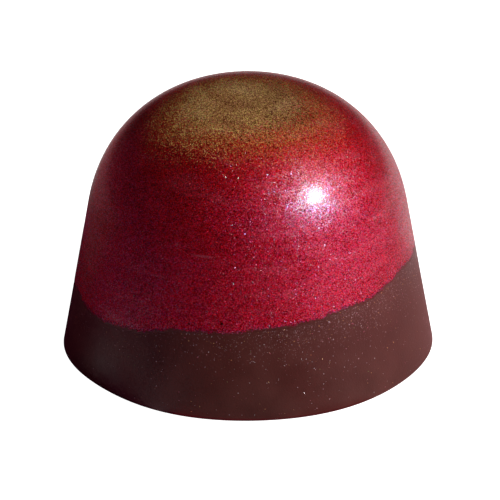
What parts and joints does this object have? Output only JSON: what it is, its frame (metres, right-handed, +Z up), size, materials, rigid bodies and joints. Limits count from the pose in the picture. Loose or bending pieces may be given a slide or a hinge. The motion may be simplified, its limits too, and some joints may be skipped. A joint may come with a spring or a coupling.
{
  "type": "moulded chocolate bonbon",
  "caption": "Domed moulded chocolate bonbon with a short flared skirt and a flat base, in a pearly red cocoa-butter coat with a soft gold spot on top.",
  "frame": {"origin": "middle of the flat base, at table height", "axes": "+Z up along the dome's axis, front facing -Y"},
  "size_m": [0.0302, 0.0298, 0.0224],
  "materials": {
    "dark_chocolate": "satin moulded dark chocolate",
    "pearl_cocoa_butter": "glossy film of pearly red cocoa butter full of fine mica, with a soft gold spot on top",
    "mica_dust": "tiny bright silver, gold and pink mica flakes"
  },
  "bodies": {
    "root": {"bonbon": "dark_chocolate"}
  },
  "joints": []
}
